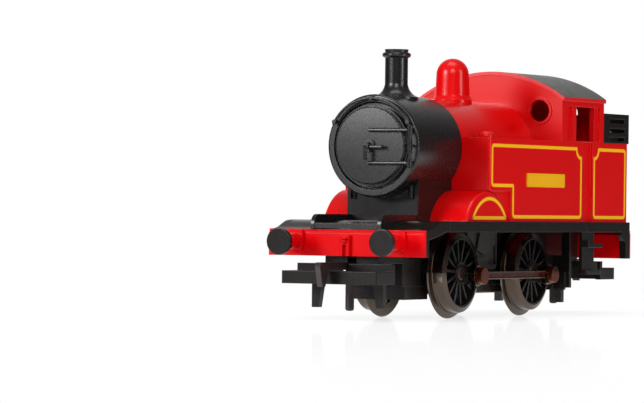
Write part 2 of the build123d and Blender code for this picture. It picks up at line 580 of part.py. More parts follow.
with BuildPart() as cab_steps:
    block((-29.8, -24.0), (BODY_HALF, BEAM_HALF), (8.8, VALANCE_LOW))
    block((-29.9, -22.9), (BODY_HALF + 0.5, STEP_OUT), (14.5, 15.3))
    block((-23.6, -22.9), (BODY_HALF + 0.5, STEP_OUT), (14.5, 16.1))
    with BuildSketch(Plane.XY.offset(8.8)):
        with Locations((-26.4, (BODY_HALF + STEP_OUT) / 2)):
            RectangleRounded(7.0, STEP_OUT - BODY_HALF, 0.9)
    extrude(amount=0.9)
    block((-31.6, -29.8), (BODY_HALF, BEAM_HALF), (9.6, 11.3))
    mirror(about=Plane.XZ)
cab_steps.part.label = "cab_steps"
export_step(cab_steps.part, "parts/cab_steps.step")

with BuildPart() as chassis_frame:
    # Stepped main block with a tail at each end under the footplate.
    block((-35.0, CHASSIS_FRONT), (-CHASSIS_HALF, CHASSIS_HALF), (CHASSIS_LOW, 17.6))
    block((-37.8, -35.0), (-CHASSIS_HALF, CHASSIS_HALF), (9.9, 17.6))
    block((-46.2, -37.8), (-CHASSIS_HALF, CHASSIS_HALF), (COUPLING_TOP, 17.6))
    block((CHASSIS_FRONT, 46.2), (-CHASSIS_HALF, CHASSIS_HALF), (COUPLING_TOP, 17.0))
    block((-46.2, -26.2), (-CHASSIS_HALF, CHASSIS_HALF), (17.6, DECK_LOW))
    block((26.2, CHASSIS_FRONT), (-CHASSIS_HALF, CHASSIS_HALF), (17.6, DECK_LOW))
    # Motor bay, gear well, shaft bearing and axle bores.
    bay_half = MOTOR_R + RUNNING
    block((MOTOR_REAR - 1.4, -10.0), (-bay_half, bay_half), (WORM_Z - MOTOR_FLAT, 20), Mode.SUBTRACT)
    block((REAR_AXLE - 3.9, REAR_AXLE + 3.9), (-1.9, 1.9), (CHASSIS_LOW - 1, 20), Mode.SUBTRACT)
    rod_along("x", (-10.5, 0, WORM_Z), (-8.0, 0, WORM_Z), SHAFT_R + RUNNING, Mode.SUBTRACT)
    for x in AXLES.values():
        rod_along("y", (x, -10, AXLE_Z), (x, 10, AXLE_Z), BUSH_R, Mode.SUBTRACT)
    # Holes for the keeper screws and the body screws.
    for x in KEEPER_SCREWS:
        rod_along("z", (x, 0, CHASSIS_LOW - 1), (x, 0, 10.0), 0.8, Mode.SUBTRACT)
    for x in (-COUPLING_SCREW_X, COUPLING_SCREW_X):
        rod_along("z", (x, 0, 11), (x, 0, 15.0), 0.8, Mode.SUBTRACT)
    # Grooves that let the coupling hooks lift.
    block((43.6, 47.0), (-1.0, 1.0), (11.0, 13.0), Mode.SUBTRACT)
    block((-47.0, -43.6), (-1.0, 1.0), (11.0, 13.0), Mode.SUBTRACT)
chassis_frame.part.label = "chassis_frame"
export_step(chassis_frame.part, "parts/chassis_frame.step")

with BuildPart() as keeper_plate:
    block((-33.5, 35.0), (-CHASSIS_HALF, CHASSIS_HALF), (KEEPER_LOW, CHASSIS_LOW))
    block((25.0, 35.0), (-CHASSIS_HALF, CHASSIS_HALF), (4.0, KEEPER_LOW))
    window = (REAR_AXLE - 4.2, REAR_AXLE + 4.2)
    block(window, (-1.9, 1.9), (KEEPER_LOW + 0.35, CHASSIS_LOW + 1), Mode.SUBTRACT)
    for x in KEEPER_SCREWS:
        rod_along("z", (x, 0, 3), (x, 0, CHASSIS_LOW + 1), 0.8, Mode.SUBTRACT)
        rod_along("z", (x, 0, 3), (x, 0, KEEPER_LOW + 0.6), 1.45, Mode.SUBTRACT)
keeper_plate.part.label = "keeper_plate"
export_step(keeper_plate.part, "parts/keeper_plate.step")

with BuildPart() as keeper_screws:
    for x in KEEPER_SCREWS:
        rod_along("z", (x, 0, KEEPER_LOW + 0.6), (x, 0, 10.0), 0.8)
        rod_along("z", (x, 0, KEEPER_LOW - 0.1), (x, 0, KEEPER_LOW + 0.6), 1.45)
        block((x - 1.2, x + 1.2), (-0.15, 0.15), (KEEPER_LOW - 0.3, KEEPER_LOW + 0.25), Mode.SUBTRACT)
keeper_screws.part.label = "keeper_screws"
export_step(keeper_screws.part, "parts/keeper_screws.step")

with BuildPart() as ballast_weights:
    # Cast weights flanking the chassis block between the wheels, and a round one filling the boiler.
    block((-4.6, 9.0), (CHASSIS_HALF, CHASSIS_HALF + 0.9), (9.9, 17.6))
    fillet(ballast_weights.edges().filter_by(Axis.Y).group_by(Axis.Z)[0], radius=1.0)
    # Pocket in the outer face, with slanted webs left standing.
    with BuildSketch(Plane.XZ.offset(-CHASSIS_HALF - 2)):
        with BuildLine():
            Polyline(*POCKET, POCKET[0])
        make_face()
        for web in POCKET_WEBS:
            with BuildLine():
                Polyline(*web, web[0])
            make_face(mode=Mode.SUBTRACT)
    extrude(amount=1.7, mode=Mode.SUBTRACT)
    mirror(about=Plane.XZ)
    weight = (CAB_FRONT + RUNNING, SMOKEBOX_FRONT + SEAT - WALL - RUNNING)
    rod_along("x", (weight[0], 0, BOILER_Z), (weight[1], 0, BOILER_Z), BOILER_R - WALL - RUNNING)
ballast_weights.part.label = "ballast_weights"
export_step(ballast_weights.part, "parts/ballast_weights.step")

with BuildPart() as axle_bushes:
    for x in AXLES.values():
        rod_along("y", (x, CHASSIS_HALF - 2.6, AXLE_Z), (x, CHASSIS_HALF, AXLE_Z), BUSH_R)
        rod_along("y", (x, CHASSIS_HALF, AXLE_Z), (x, CHASSIS_HALF + 0.5, AXLE_Z), BUSH_R + 0.5)
    for x in AXLES.values():
        rod_along("y", (x, 0, AXLE_Z), (x, 9, AXLE_Z), AXLE_R + RUNNING, Mode.SUBTRACT)
    mirror(about=Plane.XZ)
axle_bushes.part.label = "axle_bushes"
export_step(axle_bushes.part, "parts/axle_bushes.step")

with BuildPart() as rear_hangers:
    block((-34.8, -33.8), (8.1, 10.0), (5.7, DECK_LOW))
    with BuildSketch(Plane.YZ.offset(-33.8)):
        with Locations((8.55, 7.2)):
            SlotOverall(4.3, 1.3, rotation=90)
    extrude(amount=0.7)
    mirror(about=Plane.XZ)
rear_hangers.part.label = "rear_hangers"
export_step(rear_hangers.part, "parts/rear_hangers.step")

with BuildPart() as rail_guards:
    # Tapered square droppers ahead of and behind the wheels.
    for x, top, inner in ((47.25, 9.6, 5.8), (GUARD_REAR, 9.9, CHASSIS_HALF + 0.05)):
        with BuildSketch(Plane.YZ.offset(x - 0.75)):
            with BuildLine():
                Polyline((8.0, top), (8.0, 2.5), (6.5, 2.5), (inner, 7.1), (inner, top), (8.0, top))
            make_face()
        extrude(amount=1.5)
    block((GUARD_REAR - 0.75, GUARD_REAR + 0.75), (CHASSIS_HALF, 8.0), (9.9, 12.6))
    block((44.3, 48.0), (5.8, 8.0), (9.6, 11.3))
    mirror(about=Plane.XZ)
rail_guards.part.label = "rail_guards"
export_step(rail_guards.part, "parts/rail_guards.step")

# ---------------------------------------------------------------- couplings

with BuildPart() as front_coupling_frame:
    # Front bar, two side arms, a notched cross bar and the tail that bolts under the chassis.
    block((BAR_FACE - 1.2, BAR_FACE), (-BAR_HALF, BAR_HALF), (BAR_LOW, BAR_TOP))
    fillet(front_coupling_frame.edges().filter_by(Axis.Z), radius=0.3)
    for side in (1, -1):
        arm = sorted((side * (BAR_HALF - 1.1), side * BAR_HALF))
        block((48.1, BAR_FACE - 0.5), arm, (BAR_LOW, BAR_TOP))
        block((48.1, 49.2), arm, (BAR_LOW, COUPLING_TOP))
    block((48.1, 49.2), (-BAR_HALF, BAR_HALF), (9.6, COUPLING_TOP))
    block((38.0, 48.2), (-3.2, 3.2), (10.0, COUPLING_TOP))
    block((47.0, 50.0), (-0.85, 0.85), (9.85, 12), Mode.SUBTRACT)
    block((44.3, 48.1), (-1.1, 1.1), (9, 12), Mode.SUBTRACT)
    rod_along("y", (PIVOT_X, -2.2, PIVOT_Z), (PIVOT_X, 2.2, PIVOT_Z), 0.42, Mode.SUBTRACT)
    rod_along("z", (COUPLING_SCREW_X, 0, 9), (COUPLING_SCREW_X, 0, 12), 0.8, Mode.SUBTRACT)
front_coupling_frame.part.label = "front_coupling_frame"
export_step(front_coupling_frame.part, "parts/front_coupling_frame.step")

with BuildPart() as rear_coupling_frame:
    add(front_coupling_frame.part)
    mirror(about=Plane.YZ, mode=Mode.REPLACE)
rear_coupling_frame.part.label = "rear_coupling_frame"
export_step(rear_coupling_frame.part, "parts/rear_coupling_frame.step")

with BuildPart() as coupling_pivots:
    rod_along("y", (PIVOT_X, -2.2, PIVOT_Z), (PIVOT_X, 2.2, PIVOT_Z), 0.42)
    mirror(about=Plane.YZ)
coupling_pivots.part.label = "coupling_pivots"
export_step(coupling_pivots.part, "parts/coupling_pivots.step")

with BuildPart() as coupling_screws:
    rod_along("z", (COUPLING_SCREW_X, 0, 9.9), (COUPLING_SCREW_X, 0, 15.0), 0.8)
    rod_along("z", (COUPLING_SCREW_X, 0, 9.2), (COUPLING_SCREW_X, 0, 10.0), 1.5)
    mirror(about=Plane.YZ)
coupling_screws.part.label = "coupling_screws"
export_step(coupling_screws.part, "parts/coupling_screws.step")

with BuildPart() as front_coupling_hook:
    # Lifting hook: eye, arm over both bars, a slanted nose in front and a round dropper.
    with BuildSketch(Plane.XZ.offset(-0.6)):
        with BuildLine():
            Polyline((PIVOT_X, 10.05), (57.2, 10.05), (56.95, 9.4), (58.1, 6.8), (59.2, 6.8))
            Polyline((59.2, 6.8), (HOOK_NOSE, 10.8), (HOOK_NOSE - 0.4, 11.6))
            Polyline((HOOK_NOSE - 0.4, 11.6), (PIVOT_X, 11.6), (PIVOT_X, 10.05))
        make_face()
        with Locations((PIVOT_X, PIVOT_Z)):
            Circle(0.9)
            Circle(0.47, mode=Mode.SUBTRACT)
    extrude(amount=1.2)
    rod_along("z", (DROPPER_X, 0, 1.9), (DROPPER_X, 0, 10.4), 0.88)
    fillet(front_coupling_hook.edges().group_by(Axis.Z)[0], radius=0.5)
front_coupling_hook.part.label = "front_coupling_hook"
export_step(front_coupling_hook.part, "parts/front_coupling_hook.step")

with BuildPart() as rear_coupling_hook:
    add(front_coupling_hook.part)
    mirror(about=Plane.YZ, mode=Mode.REPLACE)
rear_coupling_hook.part.label = "rear_coupling_hook"
export_step(rear_coupling_hook.part, "parts/rear_coupling_hook.step")

# ---------------------------------------------------------------- motor and drive

with BuildPart() as motor_can:
    # Round can with flats above and below, bored for its shaft.
    rod_along("x", (MOTOR_REAR, 0, WORM_Z), (MOTOR_FRONT, 0, WORM_Z), MOTOR_R)
    flat = (WORM_Z - MOTOR_FLAT, WORM_Z + MOTOR_FLAT)
    block((MOTOR_REAR, MOTOR_FRONT), (-MOTOR_R, MOTOR_R), flat, Mode.INTERSECT)
    rod_along("x", (MOTOR_FRONT, 0, WORM_Z), (MOTOR_FRONT + 0.8, 0, WORM_Z), 1.9)
    ends = (MOTOR_REAR - 1, MOTOR_FRONT + 2)
    rod_along("x", (ends[0], 0, WORM_Z), (ends[1], 0, WORM_Z), SHAFT_R + RUNNING, Mode.SUBTRACT)
motor_can.part.label = "motor_can"
export_step(motor_can.part, "parts/motor_can.step")

with BuildPart() as motor_end_cap:
    rod_along("x", (MOTOR_REAR - 1.4, 0, WORM_Z), (MOTOR_REAR, 0, WORM_Z), MOTOR_R - 0.3)
    flat = (WORM_Z - MOTOR_FLAT, WORM_Z + MOTOR_FLAT)
    block((MOTOR_REAR - 1.4, MOTOR_REAR), (-MOTOR_R, MOTOR_R), flat, Mode.INTERSECT)
    ends = (MOTOR_REAR - 0.9, MOTOR_REAR + 1)
    rod_along("x", (ends[0], 0, WORM_Z), (ends[1], 0, WORM_Z), SHAFT_R + RUNNING, Mode.SUBTRACT)
motor_end_cap.part.label = "motor_end_cap"
export_step(motor_end_cap.part, "parts/motor_end_cap.step")

with BuildPart() as motor_terminals:
    for y in ((-3.6, -2.4), (2.4, 3.6)):
        block((MOTOR_REAR - 1.0, MOTOR_REAR - 0.7), y, (WORM_Z + MOTOR_FLAT, WORM_Z + MOTOR_FLAT + 1.1))
motor_terminals.part.label = "motor_terminals"
export_step(motor_terminals.part, "parts/motor_terminals.step")

with BuildPart() as motor_shaft:
    rod_along("x", (MOTOR_REAR - 0.8, 0, WORM_Z), (-8.2, 0, WORM_Z), SHAFT_R)
motor_shaft.part.label = "motor_shaft"
export_step(motor_shaft.part, "parts/motor_shaft.step")

with BuildPart() as worm:
    # Single-start thread, thinned at the pitch line to leave backlash.
    rod_along("x", (REAR_AXLE - WORM_HALF, 0, WORM_Z), (REAR_AXLE + WORM_HALF, 0, WORM_Z), WORM_ROOT_R)
    start = Plane(origin=(REAR_AXLE - WORM_HALF, 0, WORM_Z), x_dir=(0, 1, 0), z_dir=(1, 0, 0))
    with BuildLine(start) as thread_path:
        Helix(pitch=WORM_PITCH, height=2 * WORM_HALF, radius=WORM_ROOT_R, direction=(1, 0, 0))
    with BuildSketch(Plane(origin=thread_path.line @ 0, x_dir=(1, 0, 0), z_dir=thread_path.line % 0)):
        with BuildLine():
            Polyline((-0.3, -0.08), (-0.09, THREAD_H), (0.09, THREAD_H), (0.3, -0.08), (-0.3, -0.08))
        make_face()
    sweep(path=thread_path.line, is_frenet=True)
    ends = (REAR_AXLE - WORM_HALF, REAR_AXLE + WORM_HALF)
    block(ends, (-5, 5), (WORM_Z - 5, WORM_Z + 5), Mode.INTERSECT)
    rod_along("x", (-25, 0, WORM_Z), (0, 0, WORM_Z), SHAFT_R, Mode.SUBTRACT)
worm.part.label = "worm"
export_step(worm.part, "parts/worm.step")

with BuildPart() as axle_gear:
    # Narrow spur wheel, one tooth upright between two turns of the worm.
    with BuildSketch(Plane.XZ.offset(-GEAR_HALF)) as gear_face:
        with Locations((REAR_AXLE, AXLE_Z)):
            Circle(GEAR_ROOT_R)
            with PolarLocations(0, GEAR_TEETH, start_angle=GEAR_START):
                Polygon(*TOOTH, align=None)
    extrude(amount=2 * GEAR_HALF)
    rod_along("y", (REAR_AXLE, -5, AXLE_Z), (REAR_AXLE, 5, AXLE_Z), AXLE_R, Mode.SUBTRACT)
axle_gear.part.label = "axle_gear"
export_step(axle_gear.part, "parts/axle_gear.step")

with BuildPart() as wheel_pickups:
    # Sprung strips along the keeper, with a finger against the back of each wheel.
    block((-17.5, 22.0), (CHASSIS_HALF - 1.6, CHASSIS_HALF - 0.4), (KEEPER_LOW - 0.25, KEEPER_LOW))
    for x in AXLES.values():
        block((x - 0.6, x + 0.6), (CHASSIS_HALF - 0.6, 7.05), (KEEPER_LOW - 0.25, KEEPER_LOW))
        block((x - 0.6, x + 0.6), (6.85, 7.2), (KEEPER_LOW - 2.2, KEEPER_LOW))
    mirror(about=Plane.XZ)
wheel_pickups.part.label = "wheel_pickups"
export_step(wheel_pickups.part, "parts/wheel_pickups.step")

# ---------------------------------------------------------------- wheels and rods

for end, x in AXLES.items():
    with BuildPart() as axle:
        rod_along("y", (x, -WHEEL_FACE - 0.35, AXLE_Z), (x, WHEEL_FACE + 0.35, AXLE_Z), AXLE_R)
        chamfer(axle.edges(), length=0.2)
    axle.part.label = f"{end}_axle"
    export_step(axle.part, f"parts/{end}_axle.step")

    for side, sign in SIDES.items():
        with BuildPart() as tyre:
            # Flange, root fillet and coned tread, turned about the axle.
            with BuildSketch(Plane.XY.offset(AXLE_Z)):
                with BuildLine():
                    outline = [(x + r, sign * y) for r, y in TYRE_OUTLINE]
                    Polyline(*outline, outline[0])
                make_face()
            revolve(axis=Axis((x, 0, AXLE_Z), (0, 1, 0)))
        tyre.part.label = f"{end}_{side}_tyre"
        export_step(tyre.part, f"parts/{end}_{side}_tyre.step")

        angle = radians(CRANK_ANGLE[side])
        pin_x = x + CRANK * cos(angle)
        pin_z = AXLE_Z + CRANK * sin(angle)
        with BuildPart() as wheel_centre:
            # Rim, tapered spokes, hub and crank boss.
            face = sign * (WHEEL_FACE + RIM_RISE - 0.15)
            rod_along("y", (x, sign * WHEEL_BACK, AXLE_Z), (x, face, AXLE_Z), RIM_R + 0.35)
            rod_along("y", (x, sign * 7, AXLE_Z), (x, sign * 11, AXLE_Z), RIM_R, Mode.SUBTRACT)
            rod_along("y", (x, sign * WHEEL_BACK, AXLE_Z), (x, sign * (WHEEL_FACE + 0.1), AXLE_Z), HUB_R)
            with BuildSketch(Plane.XZ.offset(-sign * SPOKE_MID)):
                with Locations((x, AXLE_Z)):
                    with PolarLocations(0, SPOKES, start_angle=SPOKE_START):
                        with Locations((HUB_R + (RIM_R - HUB_R) / 2, 0)):
                            Trapezoid(RIM_R - HUB_R + 0.5, 0.52, 88.8, rotation=0)
            extrude(amount=SPOKE_T / 2, both=True)
            rod_along("y", (pin_x, sign * 9.2, pin_z), (pin_x, sign * (WHEEL_FACE + 0.55), pin_z), BOSS_R)
            with BuildSketch(Plane.XZ.offset(-sign * (WHEEL_FACE - 0.5))):
                with Locations(((x + pin_x) / 2, (AXLE_Z + pin_z) / 2)):
                    Circle(2.0)
            extrude(amount=0.55, both=True)
            rod_along("y", (pin_x, sign * 7, pin_z), (pin_x, sign * 12, pin_z), PIN_R, Mode.SUBTRACT)
            rod_along("y", (x, sign * 6, AXLE_Z), (x, sign * 12, AXLE_Z), AXLE_R, Mode.SUBTRACT)
        wheel_centre.part.label = f"{end}_{side}_wheel"
        export_step(wheel_centre.part, f"parts/{end}_{side}_wheel.step")

    with BuildPart() as crankpins:
        for side, sign in SIDES.items():
            angle = radians(CRANK_ANGLE[side])
            pin_x = x + CRANK * cos(angle)
            pin_z = AXLE_Z + CRANK * sin(angle)
            rod_along("y", (pin_x, sign * 9.2, pin_z), (pin_x, sign * PIN_END, pin_z), PIN_R)
            collar = (sign * (WHEEL_FACE + 0.55), sign * (ROD_IN - 0.08))
            rod_along("y", (pin_x, collar[0], pin_z), (pin_x, collar[1], pin_z), 1.35)
            head = (sign * (ROD_IN + ROD_T + 0.1), sign * PIN_END)
            rod_along("y", (pin_x, head[0], pin_z), (pin_x, head[1], pin_z), PIN_HEAD_R)
    crankpins.part.label = f"{end}_crankpins"
    export_step(crankpins.part, f"parts/{end}_crankpins.step")

for side, sign in SIDES.items():
    angle = radians(CRANK_ANGLE[side])
    front_x = FRONT_AXLE + CRANK * cos(angle)
    rear_x = REAR_AXLE + CRANK * cos(angle)
    z = AXLE_Z + CRANK * sin(angle)
    with BuildPart() as coupling_rod:
        y = sorted((sign * ROD_IN, sign * (ROD_IN + ROD_T)))
        block((rear_x, front_x), y, (z - ROD_HEIGHT / 2, z + ROD_HEIGHT / 2))
        outer = sign * (ROD_IN + ROD_T)
        fluted = sorted((outer - sign * ROD_FLUTE, outer + sign))
        block((rear_x + 2.4, front_x - 2.4), fluted, (z - 0.42, z + 0.42), Mode.SUBTRACT)
        for x in (front_x, rear_x):
            rod_along("y", (x, y[0], z), (x, y[1], z), ROD_EYE)
        for x in (front_x, rear_x):
            rod_along("y", (x, y[0] - 1, z), (x, y[1] + 1, z), PIN_R + 0.06, Mode.SUBTRACT)
    coupling_rod.part.label = f"{side}_coupling_rod"
    export_step(coupling_rod.part, f"parts/{side}_coupling_rod.step")
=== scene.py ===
import json
import math
import random

import bmesh
import bpy
from mathutils import Matrix, Vector, noise


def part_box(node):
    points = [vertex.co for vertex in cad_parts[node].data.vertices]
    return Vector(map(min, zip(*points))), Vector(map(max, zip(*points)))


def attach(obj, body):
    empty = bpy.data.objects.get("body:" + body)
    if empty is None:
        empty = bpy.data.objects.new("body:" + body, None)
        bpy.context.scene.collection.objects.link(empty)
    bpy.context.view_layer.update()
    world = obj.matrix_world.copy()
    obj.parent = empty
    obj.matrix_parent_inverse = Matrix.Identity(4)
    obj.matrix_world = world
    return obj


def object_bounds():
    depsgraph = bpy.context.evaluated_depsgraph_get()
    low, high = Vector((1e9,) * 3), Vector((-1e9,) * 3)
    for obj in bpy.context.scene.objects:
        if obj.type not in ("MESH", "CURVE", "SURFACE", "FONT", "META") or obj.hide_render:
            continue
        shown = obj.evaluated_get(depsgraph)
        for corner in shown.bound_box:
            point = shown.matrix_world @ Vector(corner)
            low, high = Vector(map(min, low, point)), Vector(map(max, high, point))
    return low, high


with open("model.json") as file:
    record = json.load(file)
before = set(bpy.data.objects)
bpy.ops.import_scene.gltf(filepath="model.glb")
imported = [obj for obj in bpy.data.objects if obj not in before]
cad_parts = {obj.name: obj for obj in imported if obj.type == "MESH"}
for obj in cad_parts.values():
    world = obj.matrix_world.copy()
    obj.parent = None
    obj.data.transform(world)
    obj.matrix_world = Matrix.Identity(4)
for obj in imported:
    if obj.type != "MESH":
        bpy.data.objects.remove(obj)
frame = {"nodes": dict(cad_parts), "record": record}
cad_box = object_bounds()
nodes = frame["nodes"]
slot_of = {part["node"]: part["material_slot"] for part in frame["record"]["subparts"]}

# Lengths below are in millimetres where they are multiplied by MM, otherwise in metres.
MM = 0.001
SIDES = {"left": 1, "right": -1}

# ---------------------------------------------------------------- camera

CAMERA_AT = Vector((714.49, 361.98, 22.41)) * MM
CAMERA_YAW = math.radians(-151.302)
CAMERA_PITCH = math.radians(0.319)
CAMERA_ROLL = math.radians(0.696)
CAMERA_SENSOR = 36.0
CAMERA_LENS = 214.05
CAMERA_SHIFT = (-0.02127, -0.02412)
CAMERA_CLIP = (0.01, 100.0)


def place_camera():
    """The camera at the photograph's distance, height and angle."""
    data = bpy.data.cameras.new("camera")
    data.sensor_width = CAMERA_SENSOR
    data.lens = CAMERA_LENS
    data.shift_x, data.shift_y = CAMERA_SHIFT
    data.clip_start, data.clip_end = CAMERA_CLIP
    camera = bpy.data.objects.new("camera", data)
    bpy.context.scene.collection.objects.link(camera)
    level = math.cos(CAMERA_PITCH)
    forward = Vector((level * math.cos(CAMERA_YAW), level * math.sin(CAMERA_YAW), math.sin(CAMERA_PITCH)))
    right = forward.cross(Vector((0, 0, 1))).normalized()
    up = right.cross(forward)
    cos_roll, sin_roll = math.cos(CAMERA_ROLL), math.sin(CAMERA_ROLL)
    across = right * cos_roll + up * sin_roll
    upward = up * cos_roll - right * sin_roll
    turn = Matrix((across, upward, -forward)).transposed()
    camera.matrix_world = Matrix.Translation(CAMERA_AT) @ turn.to_4x4()
    bpy.context.scene.camera = camera


place_camera()

# ---------------------------------------------------------------- node trees


class Tree:
    """A short way to add and link the nodes of one node tree."""

    def __init__(self, tree):
        self.tree = tree

    def add(self, kind, inputs=None, **settings):
        node = self.tree.nodes.new(kind)
        for key, value in settings.items():
            setattr(node, key, value)
        for key, value in (inputs or {}).items():
            self.put(node, key, value)
        return node

    def put(self, node, key, value):
        if isinstance(value, bpy.types.NodeSocket):
            self.tree.links.new(value, node.inputs[key])
        else:
            node.inputs[key].default_value = value

    def math(self, operation, a, b=0.0):
        return self.add("ShaderNodeMath", {0: a, 1: b}, operation=operation).outputs[0]

    def length(self, a, b):
        """The length of a flat vector with sides a and b."""
        squares = self.math("ADD", self.math("MULTIPLY", a, a), self.math("MULTIPLY", b, b))
        return self.math("SQRT", squares)

    def distance(self, value, centre):
        """How far a value is from a fixed centre."""
        return self.math("ABSOLUTE", self.math("SUBTRACT", value, centre))

    def spread(self, value, low, high, start=0.0, end=1.0):
        """From low to high while value goes from start to end."""
        inputs = {"Value": value, "From Min": start, "From Max": end, "To Min": low, "To Max": high}
        return self.add("ShaderNodeMapRange", inputs).outputs["Result"]

    def rising(self, value, start, end):
        return self.spread(value, 0.0, 1.0, start, end)

    def falling(self, value, start, end):
        return self.spread(value, 1.0, 0.0, start, end)

    def noise(self, vector, scale, detail=2.0, roughness=0.5):
        inputs = {"Vector": vector, "Scale": scale, "Detail": detail, "Roughness": roughness}
        return self.add("ShaderNodeTexNoise", inputs).outputs["Fac"]

    def mix(self, factor, a, b):
        return self.add("ShaderNodeMix", {0: factor, 6: a, 7: b}, data_type="RGBA").outputs[2]

    def place(self):
        return self.add("ShaderNodeTexCoord").outputs["Object"]

    def parts(self, vector):
        return self.add("ShaderNodeSeparateXYZ", {0: vector}).outputs


class Surface(Tree):
    """The node tree of one new material, with its shader."""

    def __init__(self, name):
        self.material = bpy.data.materials.new(name)
        self.material.use_nodes = True
        super().__init__(self.material.node_tree)
        self.shader = self.tree.nodes["Principled BSDF"]

    def shade(self, key, value):
        self.put(self.shader, key, value)

    def colour(self):
        """What the shader's colour is linked to so far."""
        return self.shader.inputs["Base Color"].links[0].from_socket


def rgba(colour):
    return (*colour, 1.0)


def scaled(colour, share):
    return tuple(min(1.0, c * share) for c in colour)


# ---------------------------------------------------------------- kinds of material

# Noise scales are in waves per metre.
DRIFT_SCALE = 70.0
PEEL_SCALE = 1300.0
MARK_SCALE = 420.0
MARK_DEPTH = 0.15
PEEL_DISTANCE = 0.00003
PLASTIC_EDGE = 0.00018
INK_EDGE = 0.00002

PATCH_SCALE = 240.0
METAL_EDGE = 0.0001
METAL_GRAIN_STRENGTH = 0.2
METAL_GRAIN_DISTANCE = 0.00002
GRAIN_ROUGHNESS = 0.04

RING_SCALE = 5200.0
RING_STRENGTH = 0.12
WORN_RING_SCALE = 900.0
TYRE_PATCH_SCALE = 260.0
WORN_SHARE = 0.3
WORN_BRIGHTER = 1.35
TYRE_DULLER = 0.85


def moulded(name, colour, rough, gloss=0.5, peel=0.10, mottle=0.12, edge=PLASTIC_EDGE):
    """Moulded plastic: slow colour drift, orange-peel bump, uneven gloss, handling marks and soft edges."""
    n = Surface(name)
    at = n.place()
    drift = n.noise(at, DRIFT_SCALE, 3.0)
    fine = n.noise(at, PEEL_SCALE, 2.0)
    marks = n.noise(at, MARK_SCALE, 5.0, 0.65)
    dark = rgba(scaled(colour, 1.0 - mottle))
    n.shade("Base Color", n.mix(n.rising(drift, 0.3, 0.7), dark, rgba(colour)))
    n.shade("Roughness", n.math("ADD", n.spread(marks, *rough, 0.35, 0.7), n.spread(fine, -0.02, 0.02)))
    soft = n.add("ShaderNodeBevel", {"Radius": edge}, samples=4).outputs["Normal"]
    height = n.math("ADD", fine, n.math("MULTIPLY", marks, MARK_DEPTH))
    inputs = {"Height": height, "Strength": peel, "Distance": PEEL_DISTANCE, "Normal": soft}
    n.shade("Normal", n.add("ShaderNodeBump", inputs).outputs["Normal"])
    n.shader.inputs["Specular IOR Level"].default_value = gloss
    return n


def metal(name, colour, rough, grain, direction=(1.0, 1.0, 1.0), metallic=1.0, tarnish=0.35):
    """Bare or plated metal: directional grain, patches of tarnish and uneven gloss."""
    n = Surface(name)
    at = n.place()
    lines = n.add("ShaderNodeVectorMath", {0: at, 1: direction}, operation="MULTIPLY").outputs["Vector"]
    grained = n.noise(lines, grain, 4.0, 0.6)
    patches = n.noise(at, PATCH_SCALE, 4.0, 0.6)
    dull = rgba(scaled(colour, 1.0 - tarnish))
    n.shade("Base Color", n.mix(n.rising(patches, 0.35, 0.65), dull, rgba(colour)))
    uneven = n.spread(grained, -GRAIN_ROUGHNESS, GRAIN_ROUGHNESS)
    n.shade("Roughness", n.math("ADD", n.spread(patches, *rough, 0.3, 0.7), uneven))
    soft = n.add("ShaderNodeBevel", {"Radius": METAL_EDGE}, samples=4).outputs["Normal"]
    inputs = {
        "Height": grained,
        "Strength": METAL_GRAIN_STRENGTH,
        "Distance": METAL_GRAIN_DISTANCE,
        "Normal": soft,
    }
    n.shade("Normal", n.add("ShaderNodeBump", inputs).outputs["Normal"])
    n.shader.inputs["Metallic"].default_value = metallic
    return n


def turned(name, colour, rough, centre_x, centre_z):
    """Lathe-turned metal about an axle: rings of tool marks on faces and treads."""
    n = Surface(name)
    at = n.place()
    x, y, z = n.parts(at)
    radius = n.length(n.math("SUBTRACT", x, centre_x), n.math("SUBTRACT", z, centre_z))
    ring = n.add("ShaderNodeCombineXYZ", {0: radius, 1: y, 2: 0.0}).outputs[0]
    rings = n.noise(ring, RING_SCALE, 3.0, 0.55)
    patches = n.noise(at, TYRE_PATCH_SCALE, 4.0, 0.6)
    wear_and_highlight = n.noise(ring, WORN_RING_SCALE, 2.0)
    tint = n.mix(n.rising(patches, 0.35, 0.65), rgba(scaled(colour, TYRE_DULLER)), rgba(colour))
    share = n.spread(wear_and_highlight, 0.0, WORN_SHARE, 0.5, 0.75)
    n.shade("Base Color", n.mix(share, tint, rgba(scaled(colour, WORN_BRIGHTER))))
    uneven = n.spread(rings, -GRAIN_ROUGHNESS, GRAIN_ROUGHNESS)
    n.shade("Roughness", n.math("ADD", n.spread(patches, *rough, 0.3, 0.7), uneven))
    inputs = {"Height": rings, "Strength": RING_STRENGTH, "Distance": METAL_GRAIN_DISTANCE}
    n.shade("Normal", n.add("ShaderNodeBump", inputs).outputs["Normal"])
    n.shader.inputs["Metallic"].default_value = 1.0
    return n.material


# ---------------------------------------------------------------- finishes of the material slots

RED = (0.70, 0.0010, 0.0020)
BEAM_RED = (0.68, 0.0008, 0.003)
BLACK = (0.0110, 0.0085, 0.0080)
SOOT = (0.0085, 0.0082, 0.0084)
COAL = (0.012, 0.012, 0.013)
ROOF = (0.062, 0.060, 0.053)
YELLOW = (0.95, 0.50, 0.004)
PLATE_GOLD = (0.88, 0.44, 0.004)
IVORY = (0.74, 0.72, 0.66)
STEEL = (0.56, 0.55, 0.54)
AXLE_STEEL = (0.085, 0.055, 0.045)
DARK_STEEL = (0.026, 0.015, 0.014)
BRONZE = (0.58, 0.36, 0.16)
TYRE_BROWN = (0.120, 0.094, 0.076)
ROD_BROWN = (0.15, 0.030, 0.016)
ROD_DARK = (0.030, 0.022, 0.019)
# Colour of the rods' painted highlights along their edges and around their eyes.
ROD_PAINTED_HIGHLIGHT = (0.36, 0.29, 0.25)
PIN_BROWN = (0.20, 0.048, 0.024)
PIN_DARK = (0.016, 0.013, 0.012)
CASTING_GREY = (0.17, 0.175, 0.165)
# Dark colour of the casting's painted shade in its pockets, also used on its lower part.
CASTING_DARK = (0.017, 0.015, 0.014)

